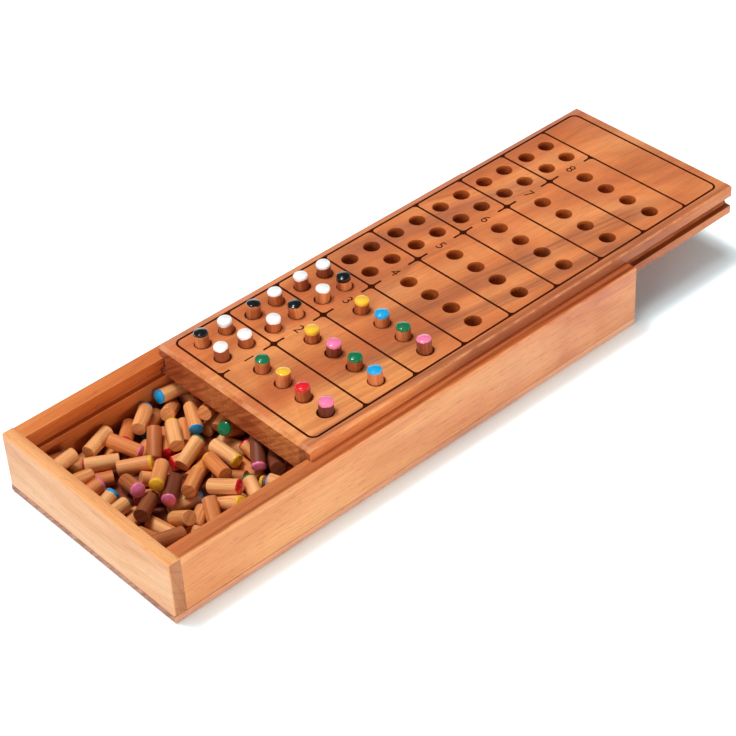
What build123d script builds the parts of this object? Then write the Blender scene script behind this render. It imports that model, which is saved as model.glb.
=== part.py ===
from build123d import *
import math
import os
import random

import numpy as np

# Wooden code-breaking game: a peg board that slides along a low wooden case as its lid.
# Millimetres. +X runs along the case, from the open end to the end the board slides out of.
# +Y points across to the side of the marking holes, and +Z up.
# The origin is the middle of the case's underside.

# Case
case_length = 245.0
case_width = 102.0
base_thickness = 3.5
wall_height = 25.5
side_wall = 8.0
left_wall_thickness = 5.5
right_wall_thickness = 6.0
divider_thickness = 4.0
peg_bay_length = 92.0
case_edge = 0.6

# Sliding board
opening_length = 66.5
end_gap = 0.4
lid_reveal = 5.75
upper_flange = 5.0
rail_thickness = 4.5
lower_flange = 3.8
board_edge = 0.7
end_bevel = 1.4
groove_corner = 0.8
slot_corner = 0.6

# Running clearances between the board and the case
rail_clearance = 0.3
web_clearance = 0.95
slot_side_clearance = 0.45
slot_floor_clearance = 0.5
cover_clearance = 0.3

# Pegs and their holes
peg_diameter = 6.0
peg_length = 14.5
peg_crown = 0.4
hole_side_clearance = 0.6
hole_depth = 8.3
peg_lean = 4.0
lean_floor_gap = 0.02

# What is round and repeats has this many flat sides, so that the model stays light
hole_sides = 24
standing_peg_sides = 24
loose_peg_sides = 12

# Hole pattern: one row for each turn, along the board
row_count = 8
code_count = 4
mark_count = 4
row_pitch = 26.0
first_row = 6.5
row_centre = 12.7
mid_line = 13.0
code_first = 8.6
code_spacing = 12.3
mark_centre = 14.1
mark_spacing = 12.3

# Loose pegs in the case: so many of each colour, and two kinds of spare marking peg
loose_count = 19
spare_black_count = 12
spare_white_count = 8
pile_gap = 0.3
wall_gap = 0.15
pile_headroom = 0.6
pile_slope = 1.6
pile_tilt = 30.0
settle_spot_count = 12
settle_move_count = 100
settle_try_count = 12
settle_turn = 0.7
settle_shift = 6.0
settle_touch = 0.01
least_spread = 1e-9
pile_seed = 7
spare_pile_length = 58.0

# Pegs standing in the first rows, from the far side to the near side: colour, and the side it
# leans to (n far, s near, e and w along the board), or upright
code_rows = [
    [("green", "s"), ("yellow", "e"), ("red", "n"), ("pink", "e")],
    [("yellow", ""), ("pink", "s"), ("green", "s"), ("blue", "n")],
    [("yellow", "s"), ("blue", ""), ("green", ""), ("pink", "n")],
]
# Marking pegs: far left, far right, near left, near right
mark_rows = [
    [("black", "n"), ("white", "w"), ("white", "n"), ("white", "w")],
    [("black", "e"), ("white", "w"), ("white", "s"), ("black", "w")],
    [("white", "n"), ("white", "w"), ("white", "e"), ("black", "w")],
]
code_colours = ["blue", "green", "red", "pink", "yellow"]
lean_sides = {"": (0, 0), "n": (0, 1), "s": (0, -1), "e": (1, 0), "w": (-1, 0)}

# Heights and places worked out from the sizes above
wall_top = base_thickness + wall_height
case_left = -case_length / 2
case_right = case_length / 2
bay_left = case_left + left_wall_thickness
divider_left = bay_left + peg_bay_length
spare_left = divider_left + divider_thickness
spare_right = case_right - right_wall_thickness
inner_half = case_width / 2 - side_wall

board_length = case_length - left_wall_thickness - end_gap
board_width = case_width - 2 * lid_reveal
board_left = bay_left + opening_length
rail_overlap = side_wall - lid_reveal
groove_depth = rail_overlap + web_clearance
groove_height = rail_thickness + rail_clearance
board_thickness = upper_flange + groove_height + lower_flange
board_top = wall_top + upper_flange
board_bottom = board_top - board_thickness
slot_depth = rail_overlap + slot_side_clearance
slot_top = wall_top - rail_thickness
slot_bottom = board_bottom - slot_floor_clearance
low_wall_top = board_bottom - cover_clearance

peg_radius = peg_diameter / 2
hole_radius = peg_radius + hole_side_clearance
hole_floor = board_top - hole_depth


def block(x_low, x_high, y_low, y_high, z_low, z_high):
    """A rectangular block between two corners."""
    size = (x_high - x_low, y_high - y_low, z_high - z_low)
    centre = ((x_low + x_high) / 2, (y_low + y_high) / 2, (z_low + z_high) / 2)
    return Pos(*centre) * Box(*size)


def edges_at(part, axis, height):
    """The edges of a part that lie wholly at one height along an axis."""
    return part.edges().filter_by_position(axis, height, height)


def base_panel():
    """The floor of the case, with its lower edges eased."""
    panel = block(case_left, case_right, -case_width / 2, case_width / 2, 0, base_thickness)
    return chamfer(edges_at(panel, Axis.Z, 0), case_edge)


def left_end_wall():
    """The tall end wall across the full width, which stops the board."""
    wall = block(
        case_left, bay_left, -case_width / 2, case_width / 2, base_thickness, wall_top
    )
    outer = edges_at(wall, Axis.X, case_left).sort_by(Axis.Z)[1:]
    return chamfer(outer, case_edge)


def cross_wall(x_low, thickness):
    """A low wall between the side walls, which the board slides over."""
    wall = block(
        x_low, x_low + thickness, -inner_half, inner_half, base_thickness, low_wall_top
    )
    return chamfer(edges_at(wall, Axis.Z, low_wall_top), case_edge)


def side_wall_profile():
    """The section of the near side wall, a plank with the running slot cut under its rail."""
    outer = -case_width / 2
    inner = -inner_half
    plank = Polyline(
        (outer, base_thickness),
        (inner, base_thickness),
        (inner, wall_top),
        (outer + case_edge, wall_top),
        (outer, wall_top - case_edge),
        close=True,
    )
    face = make_face(plank)
    slot_size = (slot_depth, slot_top - slot_bottom)
    slot_centre = (inner - slot_depth / 2, (slot_top + slot_bottom) / 2)
    slot = Pos(*slot_centre) * Rectangle(*slot_size)
    slot = chamfer(slot.vertices().group_by(Axis.X)[0], slot_corner)
    return face - slot


def near_side_wall():
    """The near side wall, from the left end wall to the open right end."""
    section = Plane.YZ.offset(bay_left) * side_wall_profile()
    return extrude(section, amount=case_right - bay_left)


def board_profile():
    """The section of the board: two flanges each side of a groove that takes the rail."""
    half = board_width / 2
    face = Pos(0, (board_top + board_bottom) / 2) * Rectangle(board_width, board_thickness)
    face = chamfer(face.vertices().group_by(Axis.Y)[-1], board_edge)
    for side in (-1, 1):
        centre = (side * (half - groove_depth / 2), wall_top - groove_height / 2)
        groove = Pos(*centre) * Rectangle(groove_depth, groove_height)
        inner_corners = groove.vertices().sort_by(Axis.X)[:2]
        if side < 0:
            inner_corners = groove.vertices().sort_by(Axis.X)[2:]
        face -= chamfer(inner_corners, groove_corner)
    return face


def code_place(row, index):
    """The centre of a code hole, counted from the far side of its row."""
    x = board_left + first_row + row * row_pitch + row_centre
    return x, mid_line - code_first - index * code_spacing


def mark_place(row, index):
    """The centre of a marking hole: far left, far right, near left, near right."""
    x = board_left + first_row + row * row_pitch + row_centre
    y = mid_line + mark_centre
    along = mark_spacing / 2 if index % 2 else -mark_spacing / 2
    across = -mark_spacing / 2 if index > 1 else mark_spacing / 2
    return x + along, y + across


def peg_board():
    """The sliding board with its blind peg holes."""
    section = Plane.YZ.offset(board_left) * board_profile()
    board = extrude(section, amount=board_length)
    top_edge = edges_at(board, Axis.X, board_left).sort_by(Axis.Z)[-1]
    board = chamfer(top_edge, end_bevel)
    drill = extrude(RegularPolygon(hole_radius, hole_sides, major_radius=False), hole_depth)
    places = []
    for row in range(row_count):
        places += [code_place(row, index) for index in range(code_count)]
        places += [mark_place(row, index) for index in range(mark_count)]
    holes = [Pos(x, y, hole_floor) * drill for x, y in places]
    return board - holes


def peg(sides):
    """A dowel peg standing on the origin, with a low crown on its painted end."""
    section = RegularPolygon(peg_radius, sides)
    side = peg_length - peg_crown
    shaft = extrude(section, side)
    crown = loft([(Pos(0, 0, side) * section).face(), Vertex(0, 0, peg_length)])
    return shaft + crown


def lean_direction(side):
    """The unit direction of a peg that leans towards a side, from straight up."""
    along, across = lean_sides[side]
    slope = math.tan(math.radians(peg_lean))
    return Vector(along * slope, across * slope, 1).normalized()


def standing_peg(prototype, place, side):
    """A peg in its hole, leaning about the middle of the hole's depth."""
    direction = lean_direction(side)
    rim_drop = peg_radius * math.sqrt(1 - direction.Z**2)
    lift = rim_drop + lean_floor_gap if side else 0
    middle = Vector(place[0], place[1], hole_floor + hole_depth / 2)
    foot_height = hole_floor + lift
    foot = middle + direction * ((foot_height - middle.Z) / direction.Z)
    frame = Plane(origin=foot, x_dir=(1, 0, -direction.X / direction.Z), z_dir=direction)
    return frame.location * prototype


def segment_distance(start, reach, starts, reaches):
    """Least distance from one segment to each of many, given as start points and vectors."""
    gap = start - starts
    a = reach @ reach
    e = np.einsum("ij,ij->i", reaches, reaches)
    b = reaches @ reach
    c = gap @ reach
    f = np.einsum("ij,ij->i", reaches, gap)
    spread = np.maximum(a * e - b * b, least_spread)
    s = np.clip((b * f - c * e) / spread, 0, 1)
    t = np.clip((b * s + f) / e, 0, 1)
    s = np.clip((b * t - c) / a, 0, 1)
    apart = gap + s[:, None] * reach - t[:, None] * reaches
    return np.sqrt(np.einsum("ij,ij->i", apart, apart).min())


class Pile:
    """Pegs dropped one by one into a bay, each slid and turned until it stops sinking."""

    # A peg is tested as a rounded bar: its ends are drawn in so that the bar, grown by half of
    # the gap, still covers the flat end's rim.
    end_inset = math.sqrt((peg_radius + pile_gap / 2) ** 2 - peg_radius**2)
    half_core = peg_length / 2 - end_inset
    reach_between = peg_diameter + pile_gap

    def __init__(self, x_low, x_high, slope, seed):
        self.x_low = x_low + wall_gap
        self.x_high = x_high - wall_gap
        self.y_high = inner_half - wall_gap
        self.slope = slope
        self.chance = random.Random(seed)
        self.centres = []
        self.axes = []

    def axis(self, turn, tilt):
        """The peg's unit axis from its turn about Z and its tilt from level."""
        level = math.cos(tilt)
        return np.array([level * math.cos(turn), level * math.sin(turn), math.sin(tilt)])

    def half_extent(self, axis):
        """Half of the peg's bounding box along X, Y and Z."""
        return peg_length / 2 * np.abs(axis) + peg_radius * np.sqrt(1 - axis**2)

    def rest_height(self, x, y, axis, half):
        """The height of the peg's centre where it first meets the floor or another peg."""
        floor = base_thickness + half[2]
        if not self.centres:
            return floor
        centres = np.array(self.centres)
        near = np.hypot(centres[:, 0] - x, centres[:, 1] - y) < peg_length + peg_diameter
        if not near.any():
            return floor
        reaches = 2 * self.half_core * np.array(self.axes)[near]
        starts = centres[near] - reaches / 2
        reach = 2 * self.half_core * axis
        height = centres[near, 2].max() + peg_length
        while height > floor:
            start = np.array([x, y, height]) - reach / 2
            clear = segment_distance(start, reach, starts, reaches) - self.reach_between
            if clear < settle_touch:
                return height
            height -= clear
        return floor

    def random_state(self):
        """A place along and across the bay, a turn and a tilt, all by chance."""
        span = self.x_high - self.x_low
        return [
            self.x_low + span * self.chance.random() ** self.slope,
            self.chance.uniform(-self.y_high, self.y_high),
            self.chance.uniform(0, 2 * math.pi),
            math.radians(pile_tilt) * self.chance.uniform(-1, 1),
        ]

    def settle(self):
        """Drops one peg at the lowest of some random spots and slides it downhill."""
        spots = [self.random_state() for _ in range(settle_spot_count)]
        state = min(spots, key=lambda spot: self.measure(spot)[0])
        best = self.measure(state)
        for move in range(settle_move_count):
            scale = 1 - move / settle_move_count
            trial = [
                state[0] + settle_shift * scale * self.chance.uniform(-1, 1),
                state[1] + settle_shift * scale * self.chance.uniform(-1, 1),
                state[2] + settle_turn * scale * self.chance.uniform(-1, 1),
                state[3] + settle_turn * scale * self.chance.uniform(-1, 1),
            ]
            result = self.measure(trial)
            if result[0] < best[0]:
                state, best = trial, result
        return best

    def measure(self, state):
        """Keeps a peg inside the walls. Gives its middle's height, its top, its place and axis."""
        x, y, turn, tilt = state
        axis = self.axis(turn, tilt)
        half = self.half_extent(axis)
        x = min(max(x, self.x_low + half[0]), self.x_high - half[0])
        y = min(max(y, half[1] - self.y_high), self.y_high - half[1])
        height = self.rest_height(x, y, axis, half)
        return height, height + half[2], (x, y, height), axis

    def drop(self, count):
        """Adds pegs, each the first to settle under the board or else the lowest of a few."""
        limit = board_bottom - pile_headroom
        for _ in range(count):
            tries = []
            while len(tries) < settle_try_count:
                tries.append(self.settle())
                if tries[-1][1] < limit:
                    tries = tries[-1:]
                    break
            chosen = min(tries, key=lambda result: result[1])
            self.centres.append(np.array(chosen[2]))
            self.axes.append(chosen[3])

    def solids(self, prototype):
        """The pegs of the pile as solids, in the order in which they fell."""
        made = []
        for centre, axis in zip(self.centres, self.axes):
            foot = centre - axis * peg_length / 2
            frame = Plane(origin=tuple(foot), z_dir=tuple(axis))
            made.append(frame.location * prototype)
        return made


def group(solids):
    """Several separate solids kept in one node."""
    return Compound(children=[piece.solid() for piece in solids])


def peg_nodes():
    """The pegs that stand in the board, one node each."""
    prototype = peg(standing_peg_sides)
    nodes = {}
    for row, pegs in enumerate(code_rows):
        for index, (colour, side) in enumerate(pegs):
            name = f"row{row + 1}_code{index + 1}_{colour}_peg"
            nodes[name] = standing_peg(prototype, code_place(row, index), side)
    for row, pegs in enumerate(mark_rows):
        for index, (colour, side) in enumerate(pegs):
            name = f"row{row + 1}_mark{index + 1}_{colour}_peg"
            nodes[name] = standing_peg(prototype, mark_place(row, index), side)
    return nodes


def loose_nodes():
    """The pegs lying in the two bays, one node for each colour."""
    prototype = peg(loose_peg_sides)
    pile = Pile(bay_left, divider_left, pile_slope, pile_seed)
    pile.drop(loose_count * len(code_colours))
    coloured = pile.solids(prototype)
    nodes = {}
    for index, colour in enumerate(code_colours):
        nodes[f"loose_{colour}_pegs"] = group(coloured[index :: len(code_colours)])
    spares = Pile(spare_left, spare_left + spare_pile_length, 1, pile_seed)
    spares.drop(spare_black_count + spare_white_count)
    marks = spares.solids(prototype)
    nodes["loose_black_pegs"] = group(marks[:spare_black_count])
    nodes["loose_white_pegs"] = group(marks[spare_black_count:])
    return nodes


def build():
    """Every node of the game by name."""
    near = near_side_wall()
    nodes = {
        "base_panel": base_panel(),
        "left_end_wall": left_end_wall(),
        "right_end_wall": cross_wall(spare_right, right_wall_thickness),
        "near_side_wall": near,
        "far_side_wall": mirror(near, about=Plane.XZ),
        "divider": cross_wall(divider_left, divider_thickness),
        "peg_board": peg_board(),
    }
    nodes.update(peg_nodes())
    nodes.update(loose_nodes())
    return nodes


os.makedirs("parts", exist_ok=True)
for name, shape in build().items():
    export_step(shape, f"parts/{name}.step")
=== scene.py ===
"""Dresses the wooden code-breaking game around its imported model.

The planks get rounded edges and their woods, the board its inked lines and row numbers, and every
peg a turned shape with a painted end. All sizes are in metres, and MM turns millimetres into them.
"""

import logging
import math
from dataclasses import dataclass, field
from enum import Enum
from typing import Callable, Optional, Union

import bmesh
import bpy
import numpy as np
from mathutils import Matrix, Vector


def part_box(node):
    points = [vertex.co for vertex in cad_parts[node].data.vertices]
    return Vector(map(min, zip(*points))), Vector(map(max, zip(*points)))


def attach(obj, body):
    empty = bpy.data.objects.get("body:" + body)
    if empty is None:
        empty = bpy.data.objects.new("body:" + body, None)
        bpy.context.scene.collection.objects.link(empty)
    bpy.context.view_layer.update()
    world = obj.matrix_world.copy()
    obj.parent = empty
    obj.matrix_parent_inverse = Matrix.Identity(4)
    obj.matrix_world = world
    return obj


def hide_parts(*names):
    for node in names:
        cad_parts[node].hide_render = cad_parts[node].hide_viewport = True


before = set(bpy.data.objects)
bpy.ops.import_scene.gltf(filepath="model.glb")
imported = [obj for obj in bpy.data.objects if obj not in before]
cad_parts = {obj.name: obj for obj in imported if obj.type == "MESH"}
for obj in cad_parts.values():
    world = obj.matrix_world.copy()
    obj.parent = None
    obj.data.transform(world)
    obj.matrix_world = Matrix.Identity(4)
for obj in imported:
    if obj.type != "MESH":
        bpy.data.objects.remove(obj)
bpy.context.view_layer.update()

LOG = logging.getLogger("scene")
MM = 0.001

# Corners less than MERGE_DISTANCE apart are one corner, and a peg's corners are one where they
# round to the same step of PEG_KEY. END_REACH is how far from a peg's outermost corner its end
# goes, and an axis whose part along Z is UPRIGHT or more counts as upright.
MERGE_DISTANCE = 0.001 * MM
PEG_KEY = 0.005 * MM
END_REACH = 0.2 * MM
UPRIGHT = 0.9

Colour = tuple[float, float, float, float]
Triple = tuple[float, float, float]
NOWHERE = (0.0, 0.0, 0.0)


def screen_colour(red: float, green: float, blue: float) -> Colour:
    """Turns a colour as the screen shows it into the linear numbers that shaders take.

    Args:
        red: Red, from 0 to 255.
        green: Green, from 0 to 255.
        blue: Blue, from 0 to 255.

    Returns:
        The linear colour with full alpha.
    """
    shown = np.array([red, green, blue]) / 255
    linear = np.where(shown <= 0.04045, shown / 12.92, ((shown + 0.055) / 1.055) ** 2.4)
    return (float(linear[0]), float(linear[1]), float(linear[2]), 1.0)


class Grain(Enum):
    """The axis that a plank's fibres run along."""

    ALONG_X = 0
    ALONG_Y = 1


def operator(operation: str, reflected: bool = False) -> Callable[["Wire", "Value"], "Wire"]:
    """Makes the method that stands for one arithmetic sign.

    Args:
        operation: The Math node's operation.
        reflected: True where the wire is the sign's right side.

    Returns:
        The method, which adds the Math node and hands on its result.
    """

    def apply(wire: "Wire", other: "Value") -> "Wire":
        """Adds the Math node."""
        first, second = (other, wire) if reflected else (wire, other)
        return wire.graph.node("ShaderNodeMath", {"operation": operation}, {0: first, 1: second})

    return apply


class Wire:
    """A socket of a node tree that can stand in sums, products and powers."""

    def __init__(self, graph: "Graph", socket: bpy.types.NodeSocket) -> None:
        """Keeps the socket and the graph it belongs to."""
        self.graph = graph
        self.socket = socket

    __add__ = operator("ADD")
    __radd__ = operator("ADD", reflected=True)
    __sub__ = operator("SUBTRACT")
    __rsub__ = operator("SUBTRACT", reflected=True)
    __mul__ = operator("MULTIPLY")
    __rmul__ = operator("MULTIPLY", reflected=True)
    __truediv__ = operator("DIVIDE")
    __pow__ = operator("POWER")


Value = Union[Wire, float, tuple]


class Graph:
    """A node tree to which one method adds every kind of node."""

    def __init__(self, tree: bpy.types.NodeTree) -> None:
        """Empties the tree and keeps it."""
        self.tree = tree
        tree.nodes.clear()

    def node(
        self,
        kind: str,
        settings: Optional[dict] = None,
        inputs: Optional[dict] = None,
        output: Union[int, str] = 0,
    ) -> Wire:
        """Adds a node.

        Args:
            kind: The node's type name.
            settings: Its properties, with a ramp's stops under "stops", set before its sockets.
            inputs: Values or wires by socket name or number.
            output: The socket to hand on.

        Returns:
            A wire from the chosen output.
        """
        made = self.tree.nodes.new(kind)
        for name, value in (settings or {}).items():
            if name == "stops":
                self._set_stops(made.color_ramp.elements, value)
            else:
                setattr(made, name, value)
        for key, value in (inputs or {}).items():
            if isinstance(value, Wire):
                self.tree.links.new(value.socket, made.inputs[key])
            else:
                made.inputs[key].default_value = value
        return Wire(self, made.outputs[output] if made.outputs else None)

    @staticmethod
    def _set_stops(elements: bpy.types.ColorRampElements, stops: list) -> None:
        """Gives a ramp its stops, each a position and a colour."""
        while len(elements) < len(stops):
            elements.new(1.0)
        for element, (position, colour) in zip(elements, stops):
            element.position = position
            element.color = colour

    def mix(self, factor: Value, first: Value, second: Value) -> Wire:
        """Blends two colours by a factor."""
        inputs = {0: factor, 6: first, 7: second}
        return self.node("ShaderNodeMix", {"data_type": "RGBA"}, inputs, output=2)

    def tint(self, base: Value, shade: Value) -> Wire:
        """Multiplies two colours."""
        settings = {"data_type": "RGBA", "blend_type": "MULTIPLY"}
        return self.node("ShaderNodeMix", settings, {0: 1.0, 6: base, 7: shade}, output=2)

    def vector(self, x: Value, y: Value, z: Value) -> Wire:
        """Joins three numbers into a vector."""
        return self.node("ShaderNodeCombineXYZ", inputs={0: x, 1: y, 2: z})

    def split(self, vector: Wire) -> tuple[Wire, Wire, Wire]:
        """Parts a vector into its three numbers."""
        first = self.node("ShaderNodeSeparateXYZ", inputs={0: vector})
        sockets = first.socket.node.outputs
        return first, Wire(self, sockets[1]), Wire(self, sockets[2])

    def noise(self, place: Wire, detail: float, roughness: float) -> Wire:
        """Smooth noise of unit size at a place."""
        inputs = {"Vector": place, "Scale": 1.0, "Detail": detail, "Roughness": roughness}
        return self.node("ShaderNodeTexNoise", {"noise_dimensions": "3D"}, inputs)

    def spread(self, value: Value, low: float, high: float) -> Wire:
        """Stretches low to high over 0 to 1, smoothly and held at both ends."""
        settings = {"interpolation_type": "SMOOTHSTEP", "clamp": True}
        inputs = {0: value, 1: low, 2: high, 3: 0.0, 4: 1.0}
        return self.node("ShaderNodeMapRange", settings, inputs)

    def ramp(self, value: Value, stops: list) -> Wire:
        """Turns a number into a colour through stops."""
        return self.node("ShaderNodeValToRGB", {"stops": stops}, {0: value})

    def bump(self, height: Value, depth: float, strength: float) -> Wire:
        """Tilts the surface by a height pattern of a depth in metres."""
        inputs = {"Strength": strength, "Distance": depth, "Height": height}
        return self.node("ShaderNodeBump", inputs=inputs)

    def attribute(self, name: str, output: str) -> Wire:
        """Reads an attribute that the mesh carries."""
        return self.node("ShaderNodeAttribute", {"attribute_name": name}, output=output)

    def object_place(self) -> Wire:
        """The place on the piece, in metres."""
        return self.node("ShaderNodeTexCoord", output="Object")

    def surface(self, inputs: dict) -> None:
        """Ends the tree with the surface shader and its sockets."""
        shader = self.node("ShaderNodeBsdfPrincipled", inputs=inputs)
        self.node("ShaderNodeOutputMaterial", inputs={"Surface": shader})


def new_graph(name: str) -> tuple[bpy.types.Material, Graph]:
    """Makes an empty material.

    Args:
        name: The material's name.

    Returns:
        The material and the graph of its nodes.
    """
    material = bpy.data.materials.new(name)
    material.use_nodes = True
    return material, Graph(material.node_tree)


@dataclass(frozen=True)
class Figure:
    """A pattern in the wood: noise drawn out by a length in millimetres along each direction.

    It shows not at all where the noise is under low and fully where it is over high. There it
    multiplies the colour by shade, to a share.
    """

    lengths: Triple
    low: float = 0.0
    high: float = 1.0
    share: float = 1.0
    shade: Colour = (1.0, 1.0, 1.0, 1.0)
    detail: float = 3.0
    roughness: float = 0.6

    def noise(self, graph: Graph, *place: Value) -> Wire:
        """The noise at a place given by its three numbers."""
        parts = [number / length for number, length in zip(place, self.lengths)]
        return graph.noise(graph.vector(*parts), self.detail, self.roughness)

    def mask(self, graph: Graph, *place: Value) -> Wire:
        """How strongly the pattern shows at a place, from 0 to 1."""
        return graph.spread(self.noise(graph, *place), self.low, self.high)

    def laid_over(self, graph: Graph, base: Value, mask: Wire) -> Wire:
        """Shades a colour where the pattern shows."""
        return graph.mix(mask * self.share, base, graph.tint(base, self.shade))


@dataclass(frozen=True)
class Streak:
    """A band of another colour in the wood, from one point to another. Lengths are in millimetres.

    Both points are given along and across the grain. The band thins out to width on both sides
    and over fade at both ends, and is made of fine lines along it.
    """

    start: tuple[float, float]
    end: tuple[float, float]
    width: float
    strength: float
    colour: Colour
    fade: float = 30.0
    threads: Figure = Figure((1.5, 70, 1), 0.34, 0.66, share=0.6, detail=4.0, roughness=0.65)

    def mask(self, graph: Graph, along: Wire, across: Wire, sway: Wire) -> Wire:
        """How strongly the band shows: its line is straight but for the sway.

        Args:
            graph: The material's graph.
            along: Place along the grain.
            across: Place across the grain.
            sway: How far the grain wanders aside there.

        Returns:
            A wire from 0 to the band's strength.
        """
        slope = (self.end[1] - self.start[1]) / (self.end[0] - self.start[0])
        offset = across - along * slope - (self.start[1] - self.start[0] * slope) + sway
        body = 1 - graph.spread(offset * offset, 0.0, self.width**2)
        begin = graph.spread(along, self.start[0], self.start[0] + self.fade)
        finish = 1 - graph.spread(along, self.end[0] - self.fade, self.end[0])
        lines = self.threads.mask(graph, offset, along, self.width) * self.threads.share
        return body * begin * finish * (lines + (1 - self.threads.share)) * self.strength


@dataclass(frozen=True)
class WoodFinish:
    """A waxed plank sawn from a tree, with rings about its heart, fibres, pores and dark streaks.

    Lengths are in millimetres. heart is where the tree's middle lies across the plank and up.
    slant is how far the grain runs aside for each millimetre along. The shades multiply the
    colour on end grain and in its lines, and as painted shade on inner faces, in holes, slots
    and the case's inside, and on faces that point up. sawn are the lines of the end grain,
    sawn_slope how they slant, and a pattern picks the worn edges, whose paler colour is both
    wear and a painted highlight.
    seed tells one plank from another, and streak_seed and thread_seed part the streaks and the
    threads from the rings.
    """

    name: str
    grain: Grain
    pale: Colour
    middle: Colour
    dark: Colour
    streak: Colour
    heart: tuple[float, float]
    seed: float
    streak_strength: float
    end_shade: Colour
    # Painted shade on inner faces: holes, slots, the board's grooves and the case's inside.
    painted_recess_shade: Colour
    ring: float = 5.0
    ring_run: float = 500.0
    wander: float = 9.0
    slant: float = 0.0
    streak_low: float = 0.55
    streak_high: float = 0.80
    streak_width: float = 3.2
    streak_run: float = 110.0
    streak_seed: float = 9.0
    thread_seed: float = 5.0
    bands: tuple[Streak, ...] = ()
    end_lines: Colour = (0.62, 0.50, 0.42, 1.0)
    # Painted shade on faces that point up.
    painted_top_shade: Colour = (1.0, 1.0, 1.0, 1.0)
    # Paler colour of worn edges: real wear and a painted highlight where rounded edges catch light.
    wear_and_highlight: Colour = screen_colour(238, 172, 120)
    roughness: float = 0.42
    gloss: float = 0.5
    drift: Figure = Figure((150, 60, 60), detail=2.0, roughness=0.5)
    patches: Figure = Figure((70, 22, 22), detail=2.0, roughness=0.5)
    tone_span: tuple[float, float] = (0.36, 0.64)
    band_sway: float = 0.25
    threads: Figure = Figure((0.9, 260, 1), 0.35, 0.70, 0.22, (0.74, 0.62, 0.52, 1.0))
    fibres: Figure = Figure((24, 0.7, 0.7), 0.40, 0.70, 0.40, (0.70, 0.58, 0.48, 1.0), roughness=0.65)
    pores: Figure = Figure((4.5, 0.4, 0.4), 0.62, 0.74, 0.45, (0.46, 0.34, 0.27, 1.0), 1.0, 0.5)
    sawn: Figure = Figure((1.3, 14, 1), 0.40, 0.66, detail=4.0)
    sawn_slope: tuple[float, float] = (0.6, 0.8)
    # Where edges are worn and carry the painted highlight.
    rubbed_and_lit: Figure = Figure((11.11, 11.11, 11.11), 0.35, 0.65, 0.45)
    fibre_roughness: float = 0.12
    end_roughness: float = 0.15
    relief_depth: float = 0.1 * MM
    relief: float = 0.3

    def _colour(self, graph: Graph, along: Wire, across: Wire, up: Wire) -> tuple[Wire, Wire, Wire]:
        """Lays the rings, streaks, fibres and pores over each other.

        Rings are bands of noise over the distance from the heart, which wanders along the plank.
        Streaks, fibres and pores are noise drawn out along the grain.

        Args:
            graph: The material's graph.
            along: Place along the grain.
            across: Place across the grain.
            up: Height.

        Returns:
            The colour, and where fibres and pores lie.
        """
        seed_place = self.seed * self.drift.lengths[1]
        drift = self.drift.noise(graph, along, across + seed_place, up)
        sway = (drift - 0.5) * (2 * self.wander)
        leaning = across - along * self.slant
        side = leaning - self.heart[0] + sway
        rise = up - self.heart[1] + sway
        radius = (side * side + rise * rise) ** 0.5
        rings = Figure((self.ring, self.ring_run, 1)).noise(graph, radius, along, self.seed)
        seed_height = self.seed * self.patches.lengths[2]
        patches = self.patches.noise(graph, along, leaning, up + seed_height)
        tone = graph.spread((rings + patches) * 0.5, *self.tone_span)
        base = graph.ramp(tone, [(0.0, self.pale), (0.5, self.middle), (1.0, self.dark)])
        for band in self.bands:
            base = graph.mix(band.mask(graph, along, across, sway * self.band_sway), base, band.colour)
        ribbons = Figure((self.streak_width, self.streak_run, 1), self.streak_low, self.streak_high)
        streaks = ribbons.mask(graph, radius, along, self.seed + self.streak_seed)
        base = graph.mix(streaks * self.streak_strength, base, self.streak)
        threads = self.threads.mask(graph, radius, along, self.seed + self.thread_seed)
        base = self.threads.laid_over(graph, base, threads)
        fibres = self.fibres.mask(graph, along, leaning, up)
        base = self.fibres.laid_over(graph, base, fibres)
        pores = self.pores.mask(graph, along, leaning, up)
        return self.pores.laid_over(graph, base, pores), fibres, pores

    def make(self) -> bpy.types.Material:
        """Builds the material. Shades, painted shade, and wear with its painted highlight follow
        attributes that the plank carries.

        Returns:
            The material.
        """
        material, graph = new_graph(self.name)
        place = [part * (1 / MM) for part in graph.split(graph.object_place())]
        along, across, up = place[self.grain.value], place[1 - self.grain.value], place[2]
        base, fibres, pores = self._colour(graph, along, across, up)
        end = graph.attribute("end_grain", "Fac")
        base = graph.mix(end, base, graph.tint(base, self.end_shade))
        slope = across * self.sawn_slope[0] + up * self.sawn_slope[1]
        lines = self.sawn.mask(graph, slope, across, self.seed)
        base = graph.mix(end * lines, base, graph.tint(base, self.end_lines))
        # Painted shade: inner faces and faces that point up are darkened.
        for face, shade in (("recess_shade_mask", self.painted_recess_shade), ("top_shade_mask", self.painted_top_shade)):
            base = graph.mix(graph.attribute(face, "Fac"), base, graph.tint(base, shade))
        # Worn edges turn paler: real wear and a painted highlight where rounded edges catch light.
        worn = graph.attribute("edge_wear_and_highlight", "Fac") * self.rubbed_and_lit.mask(graph, *place)
        base = graph.mix(worn * self.rubbed_and_lit.share, base, self.wear_and_highlight)
        hollows = (fibres + pores) * 0.5
        graph.surface({
            "Base Color": base,
            "Roughness": self.roughness + fibres * self.fibre_roughness + end * self.end_roughness,
            "Specular IOR Level": self.gloss,
            "Normal": graph.bump(1 - hollows, self.relief_depth, self.relief),
        })
        return material


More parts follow.
